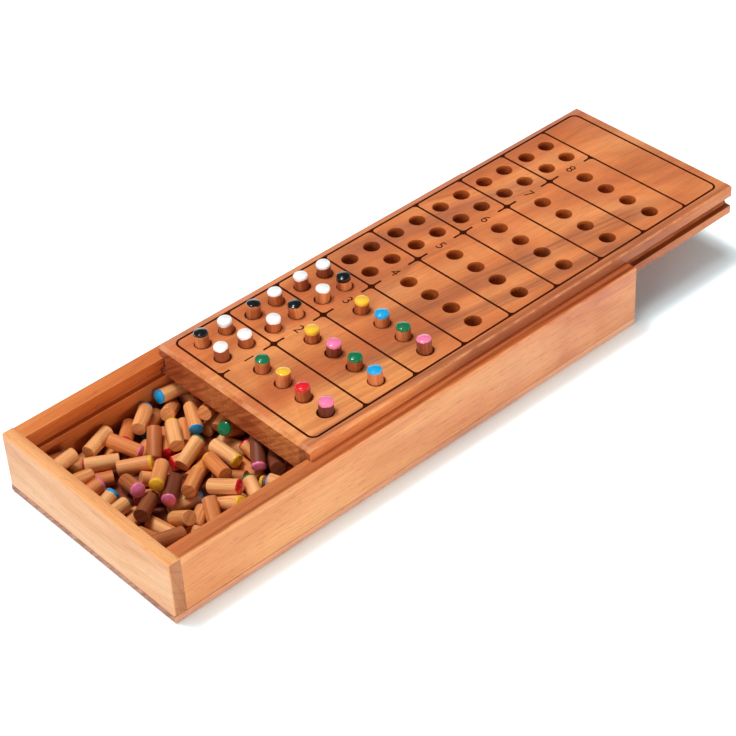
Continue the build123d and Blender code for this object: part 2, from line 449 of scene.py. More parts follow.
@dataclass(frozen=True)
class InkFinish:
    """Dark ink pressed into the wood, worn thin here and there."""

    name: str
    ink: Colour = screen_colour(58, 16, 2)
    worn: Colour = screen_colour(98, 40, 14)
    thinned: Figure = Figure((16.667, 1.111, 1000), 0.5, 0.8, 0.7)
    roughness: float = 0.6
    thin_roughness: float = 0.15
    gloss: float = 0.05

    def make(self) -> bpy.types.Material:
        """Builds the material: noise drawn out along the board thins the ink.

        Returns:
            The material.
        """
        material, graph = new_graph(self.name)
        place = [part * (1 / MM) for part in graph.split(graph.object_place())]
        thin = self.thinned.mask(graph, *place)
        graph.surface({
            "Base Color": graph.mix(thin * self.thinned.share, self.ink, self.worn),
            "Roughness": self.roughness + thin * self.thin_roughness,
            "Specular IOR Level": self.gloss,
        })
        return material


class PegColour(Enum):
    """The paints of the pegs, by the names the record gives them."""

    BLUE = screen_colour(16, 164, 222)
    GREEN = screen_colour(8, 112, 66)
    RED = screen_colour(226, 26, 38)
    PINK = screen_colour(244, 124, 166)
    YELLOW = screen_colour(246, 190, 48)
    BLACK = screen_colour(4, 6, 7)
    WHITE = screen_colour(246, 246, 244)


@dataclass(frozen=True)
class PegFinish:
    """Dowel wood with one glossy painted end whose edge runs a little unevenly down the side.

    The paint reaches paint_depth below the tip, from peg to peg more or less by uneven, and
    round each peg by ragged, all in metres. The noise behind each strays so little from its
    middle that a gain widens it. The patterns' lengths are in millimetres, and a shift is how
    far a whole step of tone moves one, so that no two pegs look alike. A dowel's wood goes from
    pale to middle to dark at tone_stops, and reliefs are the heights of the paint, of the
    wood between its fibres and of the dabs, as shares of the relief.
    """

    colour: PegColour
    length: float
    paint_depth: float
    uneven: float = 0.9 * MM
    ragged: float = 0.35 * MM
    pale: Colour = screen_colour(253, 189, 124)
    middle: Colour = screen_colour(238, 148, 84)
    dark: Colour = screen_colour(128, 68, 45)
    fibres: Figure = Figure((0.55, 0.55, 11), 0.42, 0.66, 0.4, (0.66, 0.52, 0.42, 1.0))
    rings: Figure = Figure((1.1, 60, 1), 0.42, 0.66, 0.75, (0.72, 0.56, 0.45, 1.0), 2.0, 0.5)
    dabs: Figure = Figure((1.6, 1.6, 1.6), 0.35, 0.8, 0.25, (0.78, 0.78, 0.80, 1.0), 2.0, 0.5)
    edge: Figure = Figure((2.4, 2.4, 1), detail=2.0, roughness=0.5)
    depths: Figure = Figure((1, 1, 1), detail=0.0, roughness=0.5)
    fibre_shift: float = 22.0
    ring_shift: float = 99.0
    dab_shift: float = 48.0
    edge_shift: float = 70.0
    depth_shifts: tuple[float, float] = (310.0, 170.0)
    ring_slope: tuple[float, float] = (0.6, 0.8)
    tone_stops: tuple[float, float] = (0.72, 0.88)
    edge_gain: float = 4.0
    depth_gain: float = 3.0
    paint_edge: float = 0.1 * MM
    wood_roughness: float = 0.5
    paint_smoothness: float = 0.30
    coat_roughness: float = 0.03
    gloss: float = 0.5
    relief_depth: float = 0.1 * MM
    relief: float = 0.4
    reliefs: Triple = (0.6, 0.2, 0.5)

    def make(self, name: str) -> bpy.types.Material:
        """Builds the material from the place within the peg and the tone of each peg.

        Args:
            name: The material's name.

        Returns:
            The material.
        """
        material, graph = new_graph(name)
        place = graph.split(graph.attribute("peg_place", "Vector"))
        tone = graph.attribute("peg_tone", "Fac")
        x, y, along = (part * (1 / MM) for part in place)
        fibres = self.fibres.mask(graph, x + tone * self.fibre_shift, y, along)
        slope = x * self.ring_slope[0] + y * self.ring_slope[1]
        rings = self.rings.mask(graph, slope + tone * self.ring_shift, along, tone)
        turns_middle, turns_dark = self.tone_stops
        stops = [(0.0, self.pale), (turns_middle, self.middle), (turns_dark, self.dark)]
        wood = self.rings.laid_over(graph, graph.ramp(tone, stops), rings)
        wood = self.fibres.laid_over(graph, wood, fibres)
        edge = self.edge.noise(graph, x, y, tone * self.edge_shift)
        depth = self.depths.noise(graph, *(tone * shift for shift in self.depth_shifts), 0.5)
        reach = self.length - self.paint_depth
        from_edge = (edge - 0.5) * (self.edge_gain * self.ragged)
        reach = from_edge + (depth - 0.5) * (self.depth_gain * self.uneven) + reach
        painted = graph.spread((place[2] - reach) * (1 / self.paint_edge), -1.0, 1.0)
        dabs = self.dabs.noise(graph, x, y + tone * self.dab_shift, along)
        dab_mask = graph.spread(dabs, self.dabs.low, self.dabs.high)
        paint = self.dabs.laid_over(graph, self.colour.value, dab_mask)
        step, fine, dabbed = self.reliefs
        relief = painted * step + (1 - painted) * (1 - fibres) * fine + dabs * painted * dabbed
        graph.surface({
            "Base Color": graph.mix(painted, wood, paint),
            "Roughness": self.wood_roughness - painted * self.paint_smoothness,
            "Specular IOR Level": self.gloss,
            "Coat Weight": painted,
            "Coat Roughness": self.coat_roughness,
            "Normal": graph.bump(relief, self.relief_depth, self.relief),
        })
        return material


def link(thing: bpy.types.Object) -> bpy.types.Object:
    """Puts an object into the scene."""
    bpy.context.scene.collection.objects.link(thing)
    return thing


def add_object(name: str, mesh: bpy.types.Mesh, material: bpy.types.Material) -> bpy.types.Object:
    """Puts a mesh into the scene with its material.

    Args:
        name: The piece's name.
        mesh: Its mesh, with its place in its vertices.
        material: Its finish.

    Returns:
        The new object, at the origin.
    """
    mesh.materials.clear()
    mesh.materials.append(material)
    return link(bpy.data.objects.new(name, mesh))


def finished_mesh(rough: bpy.types.Object) -> bpy.types.Mesh:
    """Turns an object with its modifiers into a plain mesh, and removes the object."""
    seen = link(rough).evaluated_get(bpy.context.evaluated_depsgraph_get())
    mesh = bpy.data.meshes.new_from_object(seen)
    bpy.data.objects.remove(rough)
    return mesh


def settle(piece: bpy.types.Object, body: str) -> None:
    """Lets a piece ride on a body and reports it.

    Args:
        piece: The finished piece.
        body: The body it moves with.
    """
    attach(piece, body)
    LOG.info("%s: %d faces on %s", piece.name, len(piece.data.polygons), body)


@dataclass
class Plank:
    """A wooden piece whose shape the model gives: its edges are rounded, and its faces are marked for
    end grain, for painted shade inside and on top, and for worn edges with a painted highlight.

    skin is how far from each side of its box a bored hole or a slot begins, and inward is the
    direction in which its inner faces look.
    """

    node: str
    body: str
    slot: str
    finish: WoodFinish
    skin: Triple
    rounding: float = 0.28 * MM
    segments: int = 3
    sharp_angle: float = 30.0
    flat_angle: float = 0.3
    # How steeply wear and its painted highlight rise on an edge's slanting faces.
    wear_and_highlight_gain: float = 5.0
    inward: Triple = NOWHERE

    def _joined(self) -> bpy.types.Mesh:
        """Copies the node's triangles, joins them and merges its flat faces."""
        mesh = bpy.data.meshes.new(f"{self.node}_joined")
        work = bmesh.new()
        work.from_mesh(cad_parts[self.node].data)
        bmesh.ops.remove_doubles(work, verts=work.verts, dist=MERGE_DISTANCE)
        flat = math.radians(self.flat_angle)
        bmesh.ops.dissolve_limit(work, angle_limit=flat, verts=work.verts, edges=work.edges)
        for face in work.faces:
            face.smooth = True
        work.to_mesh(mesh)
        work.free()
        return mesh

    @staticmethod
    def _of_faces(mesh: bpy.types.Mesh, name: str) -> np.ndarray:
        """The vector of that name for each face, one row each."""
        values = np.empty(len(mesh.polygons) * 3, np.float32)
        mesh.polygons.foreach_get(name, values)
        return values.reshape(-1, 3)

    def _inner(self, mesh: bpy.types.Mesh) -> np.ndarray:
        """Is 1 on the faces of holes and slots, which lie further than the skin inside the box."""
        centres = self._of_faces(mesh, "center")
        low, high = (np.array(corner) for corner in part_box(self.node))
        inside = np.minimum(centres - low, high - centres) > self.skin
        return inside.all(axis=1).astype(np.float32)

    def _shade_faces(self, mesh: bpy.types.Mesh) -> None:
        """Marks faces by their normals: across the grain; upwards and inwards, for painted shade; and
        slanting on an edge, for wear with a painted highlight.

        A mark is 1 on a face that looks straight along its direction and falls to 0 at 60 degrees.
        """
        normals = self._of_faces(mesh, "normal")
        inner = np.maximum(self._inner(mesh), normals @ np.array(self.inward) * 2 - 1).clip(0, 1)
        # The inner and upward marks carry painted shade, the edge mark wear and a painted highlight.
        marks = {
            "end_grain": np.abs(normals[:, self.finish.grain.value]) * 2 - 1 - inner,
            "top_shade_mask": normals[:, 2] * 2 - 1,
            "edge_wear_and_highlight": (1 - np.abs(normals).max(axis=1)) * self.wear_and_highlight_gain - inner,
            "recess_shade_mask": inner,
        }
        for name, value in marks.items():
            layer = mesh.attributes.new(name, "FLOAT", "FACE")
            layer.data.foreach_set("value", np.clip(value, 0, 1).astype(np.float32))

    def build(self) -> bpy.types.Object:
        """Makes the plank.

        Returns:
            The piece that stands for the node.
        """
        rough = bpy.data.objects.new(f"{self.node}_rough", self._joined())
        rounding = rough.modifiers.new("rounding", "BEVEL")
        rounding.width = self.rounding
        rounding.segments = self.segments
        rounding.limit_method = "ANGLE"
        rounding.angle_limit = math.radians(self.sharp_angle)
        rounding.harden_normals = True
        mesh = finished_mesh(rough)
        self._shade_faces(mesh)
        piece = add_object(f"{self.node}_wood", mesh, self.finish.make())
        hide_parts(self.node)
        settle(piece, self.body)
        return piece


def slab(outline: np.ndarray, low: float, high: float) -> tuple[np.ndarray, list]:
    """A thin closed slab over an outline that turns anticlockwise.

    Args:
        outline: Points across the board, one row each.
        low: Height of its underside.
        high: Height of its top.

    Returns:
        Its vertices, the underside's first, and its faces.
    """
    count = len(outline)
    flat = np.zeros((count, 1))
    points = np.vstack([np.hstack([outline, flat + low]), np.hstack([outline, flat + high])])
    ring = np.arange(count)
    after = np.roll(ring, -1)
    walls = np.stack([ring, after, after + count, ring + count], axis=1)
    return points, walls.tolist() + [ring[::-1].tolist(), (ring + count).tolist()]


def ribbon(path: np.ndarray, width: float, low: float, high: float) -> tuple[np.ndarray, list]:
    """A thin closed band carried round a closed path.

    Each point moves half the width to both sides along the path's normal, which is the
    direction from the point before it to the point after it, turned a quarter.

    Args:
        path: The path's points, anticlockwise.
        width: The band's width.
        low: Height of its underside.
        high: Height of its top.

    Returns:
        Its vertices and its faces.
    """
    step = np.roll(path, -1, axis=0) - np.roll(path, 1, axis=0)
    step /= np.linalg.norm(step, axis=1, keepdims=True)
    outward = np.stack([step[:, 1], -step[:, 0]], axis=1) * width / 2
    outer, inner, count = path + outward, path - outward, len(path)
    section = [(outer, low), (outer, high), (inner, high), (inner, low)]
    points = np.vstack([np.hstack([line, np.full((count, 1), height)]) for line, height in section])
    ring = np.arange(count)
    after = np.roll(ring, -1)
    faces = []
    for strip in range(4):
        here, there = strip * count, (strip + 1) % 4 * count
        faces += np.stack([ring + here, after + here, after + there, ring + there], axis=1).tolist()
    return points, faces


@dataclass
class BoardMarks:
    """The inked lines and row numbers on the board. Lengths are in metres.

    left_line and first_row are from the board's left end to the first line and to where the
    rows are counted from, mid_line is the number line's place across the board, and far_line
    and near_line are the long lines' distances from it. A short stub of the number line
    crosses each row line, with a round fillet in every corner. Tops of marks that cross differ
    by ink_step of ink_top, so that no two lie in one plane, and a fillet begins at fillet_root
    of half a line's width from its middle, inside the line.
    """

    finish: InkFinish
    rows: int = 8
    row_pitch: float = 26 * MM
    first_row: float = 6.5 * MM
    left_line: float = 5.35 * MM
    right_line: float = 4.4 * MM
    mid_line: float = 13 * MM
    far_line: float = 29.0 * MM
    near_line: float = 53.9 * MM
    corner: float = 3.2 * MM
    corner_steps: int = 10
    line_width: float = 0.95 * MM
    stub: float = 5.4 * MM
    end_stub: float = 4.6 * MM
    fillet: float = 1.9 * MM
    fillet_steps: int = 8
    fillet_root: float = 0.9
    digit_height: float = 4.9 * MM
    digit_share: float = 0.72
    digit_thinning: float = -0.03 * MM
    digit_steps: int = 6
    ink_top: float = 0.05 * MM
    ink_root: float = 0.05 * MM
    ink_step: float = 0.1
    number_finish: InkFinish = InkFinish(
        "number_ink", ink=screen_colour(66, 26, 10), worn=screen_colour(96, 48, 24)
    )

    def __post_init__(self) -> None:
        """Reads where the board lies."""
        low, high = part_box("peg_board")
        self.top = high.z
        self.first = low.x + self.left_line
        self.rows_start = low.x + self.first_row
        self.last = high.x - self.right_line
        self.far = self.mid_line + self.far_line
        self.near = self.mid_line - self.near_line

    def _border(self) -> np.ndarray:
        """A rectangle whose corners are quarter circles of the corner's radius."""
        turn = np.linspace(0, np.pi / 2, self.corner_steps)
        arc = np.stack([np.cos(turn), np.sin(turn)], axis=1) * self.corner
        middle = ((self.first + self.last) / 2, (self.far + self.near) / 2)
        half = np.array([(self.last - self.first) / 2, (self.far - self.near) / 2])
        quarter = half - self.corner + arc
        flip = quarter[::-1]
        sides = [quarter, flip * (-1, 1), quarter * (-1, -1), flip * (1, -1)]
        return np.vstack(sides) + middle

    def _bar(self, x_low: float, x_high: float, y_low: float, y_high: float) -> np.ndarray:
        """The corners of a straight line's rectangle."""
        return np.array([[x_low, y_low], [x_high, y_low], [x_high, y_high], [x_low, y_high]])

    def _corner_fillet(self, x: float, y: float, right: int, up: int) -> np.ndarray:
        """Fills a corner of two crossing lines: two legs joined by a hollow quarter circle.

        Args:
            x: Where the lines cross along the board.
            y: Where they cross across it.
            right: 1 for a corner on the right, -1 on the left.
            up: 1 for a corner on the far side, -1 on the near side.

        Returns:
            The outline's points, anticlockwise.
        """
        turn = np.linspace(0, np.pi / 2, self.fillet_steps)
        hollow = 1 - np.stack([np.sin(turn), np.cos(turn)], axis=1)
        root = self.line_width / 2 * self.fillet_root
        points = np.vstack([[[0, 0]], hollow[::-1]]) * self.fillet + root
        outline = points * (right, up) + (x, y)
        return outline if right * up < 0 else outline[::-1]

    def _lines(self) -> bpy.types.Mesh:
        """Joins the border, the row lines, the stubs and all fillets into one mesh."""
        low = self.top - self.ink_root
        tops = [self.top + self.ink_top * (1 - self.ink_step * rank) for rank in range(4)]
        half = self.line_width / 2
        shapes = [ribbon(self._border(), self.line_width, low, tops[0])]
        stubs = [(self.first, 0, self.end_stub)]
        corners = [(self.first, self.mid_line, 1, 1), (self.first, self.mid_line, 1, -1)]
        for row in range(1, self.rows + 1):
            x = self.rows_start + row * self.row_pitch
            bar = self._bar(x - half, x + half, self.near, self.far)
            shapes.append(slab(bar, low, tops[1]))
            last = row == self.rows
            sides = [-1] if last else [-1, 1]
            stubs.append((x, -self.end_stub if last else -self.stub, 0 if last else self.stub))
            for side in sides:
                corners += [(x, self.mid_line, side, 1), (x, self.mid_line, side, -1)]
                corners += [(x, self.far, side, -1), (x, self.near, side, 1)]
        for x, left, right in stubs:
            bar = self._bar(x + left, x + right, self.mid_line - half, self.mid_line + half)
            shapes.append(slab(bar, low, tops[2]))
        for corner in corners:
            shapes.append(slab(self._corner_fillet(*corner), low, tops[3]))
        return self._joined("row_lines", shapes)

    @staticmethod
    def _joined(name: str, shapes: list) -> bpy.types.Mesh:
        """Puts several shapes into one mesh."""
        starts = np.cumsum([0] + [len(points) for points, _ in shapes])
        faces = [
            [index + start for index in face]
            for start, (_, part) in zip(starts, shapes)
            for face in part
        ]
        mesh = bpy.data.meshes.new(name)
        mesh.from_pydata(np.vstack([points for points, _ in shapes]).tolist(), [], faces)
        mesh.validate()
        return mesh

    def _numbers(self) -> bpy.types.Mesh:
        """Sets the row numbers on the number line, tops towards the wide cell."""
        work = bmesh.new()
        for row in range(1, self.rows + 1):
            text = bpy.data.curves.new(f"number_{row}", "FONT")
            text.body = str(row)
            text.size = self.digit_height / self.digit_share
            text.align_x = "CENTER"
            text.align_y = "CENTER"
            text.offset = self.digit_thinning
            text.extrude = self.ink_top
            text.resolution_u = self.digit_steps
            mesh = finished_mesh(bpy.data.objects.new(text.name, text))
            x = self.rows_start + (row - 0.5) * self.row_pitch
            turned = ((0, 1, 0, x), (-1, 0, 0, self.mid_line), (0, 0, 1, self.top), (0, 0, 0, 1))
            mesh.transform(Matrix(turned))
            work.from_mesh(mesh)
            bpy.data.meshes.remove(mesh)
        joined = bpy.data.meshes.new("row_numbers")
        bmesh.ops.remove_doubles(work, verts=work.verts, dist=MERGE_DISTANCE)
        bmesh.ops.recalc_face_normals(work, faces=work.faces)
        work.to_mesh(joined)
        work.free()
        return joined

    def build(self) -> None:
        """Makes the lines and the numbers."""
        lines = add_object("row_lines", self._lines(), self.finish.make())
        settle(lines, "board")
        numbers = add_object("row_numbers", self._numbers(), self.number_finish.make())
        settle(numbers, "board")


@dataclass(frozen=True)
class PegPlaces:
    """Where the pegs of a node stand or lie: their feet and the ways their painted ends point."""

    feet: np.ndarray
    axes: np.ndarray

    @staticmethod
    def _corners(mesh: bpy.types.Mesh) -> tuple[np.ndarray, np.ndarray]:
        """Reads a mesh's triangles with the corners that they share made one.

        Args:
            mesh: The mesh, of triangles alone.

        Returns:
            The corners' places and, a row for each triangle, its corners' numbers.
        """
        points = np.empty(len(mesh.vertices) * 3, np.float32)
        mesh.vertices.foreach_get("co", points)
        corners = np.empty(len(mesh.loops), np.int32)
        mesh.loops.foreach_get("vertex_index", corners)
        keys = np.round(points.reshape(-1, 3) / PEG_KEY).astype(np.int64)
        unique, joined = np.unique(keys, axis=0, return_inverse=True)
        return unique * PEG_KEY, joined.ravel()[corners].reshape(-1, 3)

    @staticmethod
    def _peg_numbers(triangles: np.ndarray, corners: int) -> np.ndarray:
        """Numbers the pegs: corners of one triangle take their least label until nothing changes.

        Args:
            triangles: The corners' numbers, a row for each triangle.
            corners: How many corners there are.

        Returns:
            The number of each corner's peg, from 0.
        """
        labels = np.arange(corners)
        before = None
        while before is None or (labels != before).any():
            before = labels.copy()
            least = labels[triangles].min(axis=1)
            np.minimum.at(labels, triangles, least[:, None])
        return np.unique(labels, return_inverse=True)[1].ravel()

    @classmethod
    def of_node(cls, node: str) -> "PegPlaces":
        """Finds each peg in a node's mesh.

        A peg's axis is the main direction of its corners' spread, and its painted end is the one
        where a single corner, the crown's tip, lies outermost.

        Args:
            node: The node's name.

        Returns:
            The feet and axes, a row for each peg.
        """
        places, triangles = cls._corners(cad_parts[node].data)
        group = cls._peg_numbers(triangles, len(places))
        count = np.bincount(group)
        sums = [np.bincount(group, places[:, axis]) for axis in range(3)]
        centres = np.stack(sums, axis=1) / count[:, None]
        offsets = places - centres[group]
        products = np.einsum("ni,nj->nij", offsets, offsets)
        spread = np.zeros((len(count), 3, 3))
        np.add.at(spread, group, products)
        axes = np.linalg.eigh(spread)[1][:, :, 2]
        reach = np.einsum("ni,ni->n", offsets, axes[group])
        top = np.full(len(count), -1.0)
        foot = np.full(len(count), 1.0)
        np.maximum.at(top, group, reach)
        np.minimum.at(foot, group, reach)
        at_top = np.bincount(group[reach > top[group] - END_REACH], minlength=len(count))
        at_foot = np.bincount(group[reach < foot[group] + END_REACH], minlength=len(count))
        turned = at_top > at_foot
        foot = np.where(turned, -top, foot)
        axes = np.where(turned[:, None], -axes, axes)
        return cls(centres + axes * foot[:, None], axes)


@dataclass
class PegSet:
    """The pegs of one node as turned dowels. Lengths are in metres.

    side_rings are the heights of two rings of the side, as shares of the length, and tone_bias
    makes pale dowels the more common ones.
    """

    node: str
    body: str
    colour: PegColour
    length: float
    material: bpy.types.Material
    around: int
    tone_low: float
    tone_high: float
    seed: int
    radius: float = 3.0 * MM
    foot_edge: float = 0.14 * MM
    crown_edge: float = 0.80 * MM
    crown_rise: float = 0.50 * MM
    edge_steps: int = 5
    crown_steps: int = 5
    side_rings: tuple[float, float] = (0.5, 0.78)
    tone_bias: float = 1.4
    sharp_angle: float = 32.0

    def _profile(self) -> np.ndarray:
        """The peg's outline as radius and height, from the middle of the foot to the tip.

        The foot's edge is a short slope. The painted end's edge is a quarter circle, and its
        crown falls with the square of the distance from the axis.
        """
        turn = np.linspace(0, np.pi / 2, self.edge_steps)
        corner = np.array([self.radius, self.length - self.crown_rise]) - self.crown_edge
        edge = corner + self.crown_edge * np.stack([np.cos(turn), np.sin(turn)], axis=1)
        share = np.linspace(1, 0, self.crown_steps)[1:]
        crown = np.stack([corner[0] * share, self.length - self.crown_rise * share**2], axis=1)
        foot = np.array([[0, 0], [self.radius - self.foot_edge, 0], [self.radius, self.foot_edge]])
        side = np.array([[self.radius, self.length * height] for height in self.side_rings])
        return np.vstack([foot, side, edge, crown])

    def _turned(self) -> tuple[np.ndarray, list]:
        """Turns the profile about Z: a grid of rings, closed by one point at each end."""
        profile = self._profile()
        rings = profile[1:-1]
        turn = np.linspace(0, 2 * np.pi, self.around, endpoint=False)
        grid = np.empty((len(rings), self.around, 3))
        grid[:, :, 0] = rings[:, :1] * np.cos(turn)
        grid[:, :, 1] = rings[:, :1] * np.sin(turn)
        grid[:, :, 2] = rings[:, 1:]
        ends = np.array([[0, 0, profile[0, 1]], [0, 0, profile[-1, 1]]])
        index = np.arange(len(rings) * self.around).reshape(len(rings), self.around)
        after = np.roll(index, -1, axis=1)
        quads = np.stack([index[:-1], after[:-1], after[1:], index[1:]], axis=-1).reshape(-1, 4)
        foot, tip = index.size, index.size + 1
        closing_foot = np.stack([after[0], index[0], np.full(self.around, foot)], axis=1)
        closing_tip = np.stack([index[-1], after[-1], np.full(self.around, tip)], axis=1)
        return np.vstack([grid.reshape(-1, 3), ends]), [quads, closing_foot, closing_tip]

    @staticmethod
    def _set_out(local: np.ndarray, places: PegPlaces) -> np.ndarray:
        """Stands a copy of the turned peg at each place, with its Z along the peg's axis.

        Args:
            local: The turned peg's vertices, its foot at the origin.
            places: The pegs' feet and axes.

        Returns:
            The vertices of all pegs, peg after peg.
        """
        upright = np.abs(places.axes[:, 2:]) >= UPRIGHT
        helper = np.where(upright, [[1.0, 0, 0]], [[0, 0, 1.0]])
        first = np.cross(helper, places.axes)
        first /= np.linalg.norm(first, axis=1, keepdims=True)
        second = np.cross(places.axes, first)
        turn = np.stack([first, second, places.axes], axis=1)
        points = places.feet[:, None] + np.einsum("vi,kij->kvj", local, turn)
        return points.reshape(-1, 3)

    def build(self) -> None:
        """Makes the pegs and gives each corner its place within its peg and its peg's tone."""
        places = PegPlaces.of_node(self.node)
        local, faces = self._turned()
        points = self._set_out(local, places)
        count = len(places.feet)
        starts = (np.arange(count) * len(local))[:, None, None]
        listed = []
        for part in faces:
            listed += (part + starts).reshape(-1, part.shape[1]).tolist()
        mesh = bpy.data.meshes.new(self.node)
        mesh.from_pydata(points.tolist(), [], listed)
        chance = np.random.default_rng(self.seed)
        spread = self.tone_high - self.tone_low
        tones = self.tone_low + spread * chance.random(count) ** self.tone_bias
        place = mesh.attributes.new("peg_place", "FLOAT_VECTOR", "POINT")
        place.data.foreach_set("vector", np.tile(local, (count, 1)).ravel().astype(np.float32))
        tone = mesh.attributes.new("peg_tone", "FLOAT", "POINT")
        tone.data.foreach_set("value", np.repeat(tones, len(local)).astype(np.float32))
        mesh.shade_smooth()
        mesh.set_sharp_from_angle(angle=math.radians(self.sharp_angle))
        piece = add_object(f"{self.node}_turned", mesh, self.material)
        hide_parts(self.node)
        settle(piece, self.body)


# Darker copy of the dowel wood for the standing pegs: painted shade on their upright sides.
SHADED_STANDING_WOOD = dict(
    pale=screen_colour(222, 140, 86),
    middle=screen_colour(186, 102, 60),
    dark=screen_colour(104, 50, 38),
)


@dataclass
class Pegs:
    """Every peg of the game: those standing in the board and those lying in the case.

    plain_tones is how pale and how dark a dowel is, from 0, pale, to 1, dark, and tones gives
    the colours whose dowels differ from that.
    """

    length: float = 14.49 * MM
    standing_paint: float = 2.0 * MM
    loose_paint: float = 1.55 * MM
    standing_around: int = 48
    loose_around: int = 28
    plain_tones: tuple[float, float] = (0.0, 0.88)
    tones: dict = field(
        default_factory=lambda: {PegColour.PINK: (0.70, 1.0), PegColour.WHITE: (0.1, 0.95)}
    )

    def build(self) -> None:
        """Makes a set for each node whose name ends in peg or pegs."""
        nodes = [name for name in sorted(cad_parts) if name.endswith(("_peg", "_pegs"))]
        materials = {}
        for number, node in enumerate(nodes):
            colour = PegColour[node.split("_")[-2].upper()]
            loose = node.startswith("loose")
            key = f"{'loose' if loose else 'standing'}_{colour.name.lower()}_finish"
            if key not in materials:
                depth = self.loose_paint if loose else self.standing_paint
                woods = {} if loose else SHADED_STANDING_WOOD
                materials[key] = PegFinish(colour, self.length, depth, **woods).make(key)
            around = self.loose_around if loose else self.standing_around
            body = "case" if loose else node
            low, high = self.tones.get(colour, self.plain_tones)
            pegs = PegSet(node, body, colour, self.length, materials[key], around, low, high, number)
            pegs.build()


@dataclass(frozen=True)
class View:
    """The camera: a long lens turned to a point on the board, at the photograph's angle.

    Angles are in degrees, azimuth from +Y towards +X, and lengths in metres. The lens is in
    millimetres on the sensor's width.
    """

    target: Triple = (0.0089, -0.0114, 0.020)
    distance: float = 0.8488
    azimuth: float = 40.44
    elevation: float = 38.96
    roll: float = -3.37
    lens: float = 104.93
    sensor: float = 36.0
    nearest: float = 0.05

    def build(self) -> None:
        """Makes the camera and hands it to the scene."""
        azimuth, elevation, roll = map(math.radians, (self.azimuth, self.elevation, self.roll))
        ahead = Vector((math.sin(azimuth), math.cos(azimuth), 0))
        forward = ahead * math.cos(elevation) - Vector((0, 0, math.sin(elevation)))
        flat = Vector((math.cos(azimuth), -math.sin(azimuth), 0))
        above = flat.cross(forward)
        right = flat * math.cos(roll) + above * math.sin(roll)
        up = above * math.cos(roll) - flat * math.sin(roll)
        data = bpy.data.cameras.new("camera")
        data.lens = self.lens
        data.sensor_width = self.sensor
        data.sensor_fit = "HORIZONTAL"
        data.clip_start = self.nearest
        camera = link(bpy.data.objects.new("camera", data))
        turned = Matrix((right, up, -forward)).transposed().to_4x4()
        place = Vector(self.target) - forward * self.distance
        camera.matrix_world = Matrix.Translation(place) @ turned
        bpy.context.scene.camera = camera


@dataclass(frozen=True)
class Lamp:
    """A broad soft lamp far from the table.

    towards points from the object to the lamp, width is the lamp's breadth in degrees as the
    object sees it, and level is how bright a white sheet that faces it becomes, 1 being white.
    mirrored tells whether paint and wax show a glint of it.
    """

    name: str
    towards: Triple
    width: float
    level: float
    mirrored: bool = False

    def build(self) -> None:
        """Makes the lamp."""
        data = bpy.data.lights.new(self.name, "SUN")
        data.angle = math.radians(self.width)
        data.energy = self.level * math.pi
        lamp = link(bpy.data.objects.new(self.name, data))
        lamp.rotation_euler = Vector(self.towards).to_track_quat("Z", "Y").to_euler()
        lamp.visible_glossy = self.mirrored


